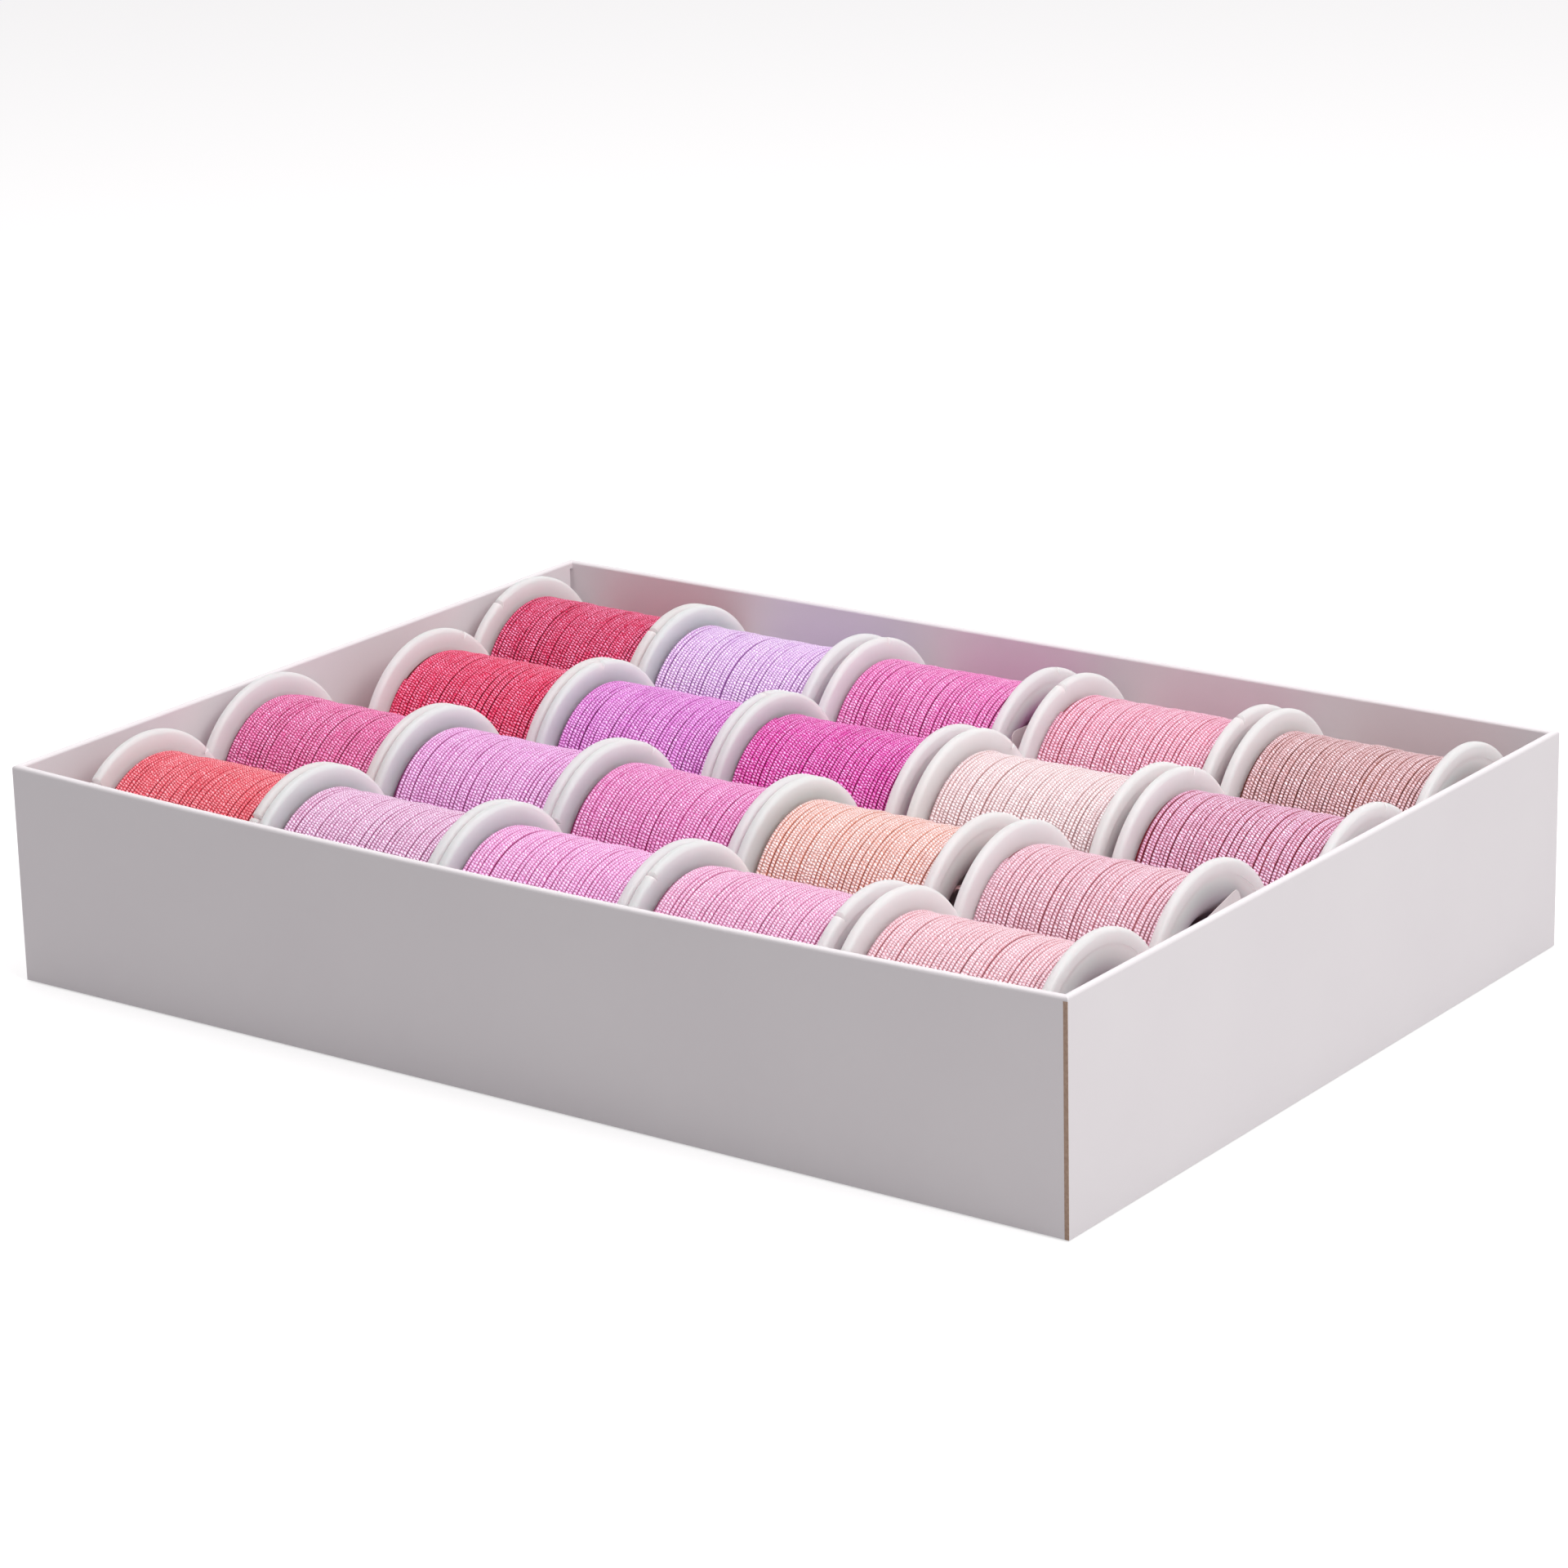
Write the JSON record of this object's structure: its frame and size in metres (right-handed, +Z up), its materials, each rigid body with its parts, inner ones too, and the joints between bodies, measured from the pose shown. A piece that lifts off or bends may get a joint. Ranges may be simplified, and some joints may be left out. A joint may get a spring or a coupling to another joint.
{
  "type": "thread spool tray",
  "caption": "Open white folding-board tray holding rows of flanged white plastic spools wound with sewing thread in pinks and reds, lying on their sides.",
  "frame": {"origin": "centre of the tray's flat underside", "axes": "+X along the tray's length and the spools' axes, +Y to the back long wall, +Z up out of the tray"},
  "size_m": [0.1718, 0.127, 0.0328],
  "materials": {
    "board": "satin",
    "spool_plastic": "satin",
    "thread_crimson": "satin",
    "thread_pale_lavender": "satin",
    "thread_hot_orchid": "satin",
    "thread_salmon": "satin",
    "thread_dusty_rose": "satin",
    "thread_scarlet": "satin",
    "thread_violet_orchid": "satin",
    "thread_fuchsia": "satin",
    "thread_blush_cream": "satin",
    "thread_mauve_pink": "satin",
    "thread_raspberry": "satin",
    "thread_light_orchid": "satin",
    "thread_rose_pink": "satin",
    "thread_peach": "satin",
    "thread_dusty_pink": "satin",
    "thread_coral_red": "satin",
    "thread_pale_lilac_pink": "satin",
    "thread_bright_orchid_pink": "satin",
    "thread_soft_pink": "satin",
    "thread_pale_blush": "satin"
  },
  "bodies": {
    "tray": {"tray": "board"},
    "row1_col1": {"spool_row1_col1": "spool_plastic", "thread_row1_col1": "thread_crimson"},
    "row1_col2": {"spool_row1_col2": "spool_plastic", "thread_row1_col2": "thread_pale_lavender"},
    "row1_col3": {"spool_row1_col3": "spool_plastic", "thread_row1_col3": "thread_hot_orchid"},
    "row1_col4": {"spool_row1_col4": "spool_plastic", "thread_row1_col4": "thread_salmon"},
    "row1_col5": {"spool_row1_col5": "spool_plastic", "thread_row1_col5": "thread_dusty_rose"},
    "row2_col1": {"spool_row2_col1": "spool_plastic", "thread_row2_col1": "thread_scarlet"},
    "row2_col2": {"spool_row2_col2": "spool_plastic", "thread_row2_col2": "thread_violet_orchid"},
    "row2_col3": {"spool_row2_col3": "spool_plastic", "thread_row2_col3": "thread_fuchsia"},
    "row2_col4": {"spool_row2_col4": "spool_plastic", "thread_row2_col4": "thread_blush_cream"},
    "row2_col5": {"spool_row2_col5": "spool_plastic", "thread_row2_col5": "thread_mauve_pink"},
    "row3_col1": {"spool_row3_col1": "spool_plastic", "thread_row3_col1": "thread_raspberry"},
    "row3_col2": {"spool_row3_col2": "spool_plastic", "thread_row3_col2": "thread_light_orchid"},
    "row3_col3": {"spool_row3_col3": "spool_plastic", "thread_row3_col3": "thread_rose_pink"},
    "row3_col4": {"spool_row3_col4": "spool_plastic", "thread_row3_col4": "thread_peach"},
    "row3_col5": {"spool_row3_col5": "spool_plastic", "thread_row3_col5": "thread_dusty_pink"},
    "row4_col1": {"spool_row4_col1": "spool_plastic", "thread_row4_col1": "thread_coral_red"},
    "row4_col2": {"spool_row4_col2": "spool_plastic", "thread_row4_col2": "thread_pale_lilac_pink"},
    "row4_col3": {"spool_row4_col3": "spool_plastic", "thread_row4_col3": "thread_bright_orchid_pink"},
    "row4_col4": {"spool_row4_col4": "spool_plastic", "thread_row4_col4": "thread_soft_pink"},
    "row4_col5": {"spool_row4_col5": "spool_plastic", "thread_row4_col5": "thread_pale_blush"}
  },
  "joints": [
    {"name": "lift_row1_col1", "type": "slide", "parent": "tray", "child": "row1_col1", "axis": [0, 0, 1], "range_m": [0, 0.045]},
    {"name": "lift_row1_col2", "type": "slide", "parent": "tray", "child": "row1_col2", "axis": [0, 0, 1], "range_m": [0, 0.045]},
    {"name": "lift_row1_col3", "type": "slide", "parent": "tray", "child": "row1_col3", "axis": [0, 0, 1], "range_m": [0, 0.045]},
    {"name": "lift_row1_col4", "type": "slide", "parent": "tray", "child": "row1_col4", "axis": [0, 0, 1], "range_m": [0, 0.045]},
    {"name": "lift_row1_col5", "type": "slide", "parent": "tray", "child": "row1_col5", "axis": [0, 0, 1], "range_m": [0, 0.045]},
    {"name": "lift_row2_col1", "type": "slide", "parent": "tray", "child": "row2_col1", "axis": [0, 0, 1], "range_m": [0, 0.045]},
    {"name": "lift_row2_col2", "type": "slide", "parent": "tray", "child": "row2_col2", "axis": [0, 0, 1], "range_m": [0, 0.045]},
    {"name": "lift_row2_col3", "type": "slide", "parent": "tray", "child": "row2_col3", "axis": [0, 0, 1], "range_m": [0, 0.045]},
    {"name": "lift_row2_col4", "type": "slide", "parent": "tray", "child": "row2_col4", "axis": [0, 0, 1], "range_m": [0, 0.045]},
    {"name": "lift_row2_col5", "type": "slide", "parent": "tray", "child": "row2_col5", "axis": [0, 0, 1], "range_m": [0, 0.045]},
    {"name": "lift_row3_col1", "type": "slide", "parent": "tray", "child": "row3_col1", "axis": [0, 0, 1], "range_m": [0, 0.045]},
    {"name": "lift_row3_col2", "type": "slide", "parent": "tray", "child": "row3_col2", "axis": [0, 0, 1], "range_m": [0, 0.045]},
    {"name": "lift_row3_col3", "type": "slide", "parent": "tray", "child": "row3_col3", "axis": [0, 0, 1], "range_m": [0, 0.045]},
    {"name": "lift_row3_col4", "type": "slide", "parent": "tray", "child": "row3_col4", "axis": [0, 0, 1], "range_m": [0, 0.045]},
    {"name": "lift_row3_col5", "type": "slide", "parent": "tray", "child": "row3_col5", "axis": [0, 0, 1], "range_m": [0, 0.045]},
    {"name": "lift_row4_col1", "type": "slide", "parent": "tray", "child": "row4_col1", "axis": [0, 0, 1], "range_m": [0, 0.045]},
    {"name": "lift_row4_col2", "type": "slide", "parent": "tray", "child": "row4_col2", "axis": [0, 0, 1], "range_m": [0, 0.045]},
    {"name": "lift_row4_col3", "type": "slide", "parent": "tray", "child": "row4_col3", "axis": [0, 0, 1], "range_m": [0, 0.045]},
    {"name": "lift_row4_col4", "type": "slide", "parent": "tray", "child": "row4_col4", "axis": [0, 0, 1], "range_m": [0, 0.045]},
    {"name": "lift_row4_col5", "type": "slide", "parent": "tray", "child": "row4_col5", "axis": [0, 0, 1], "range_m": [0, 0.045]}
  ]
}
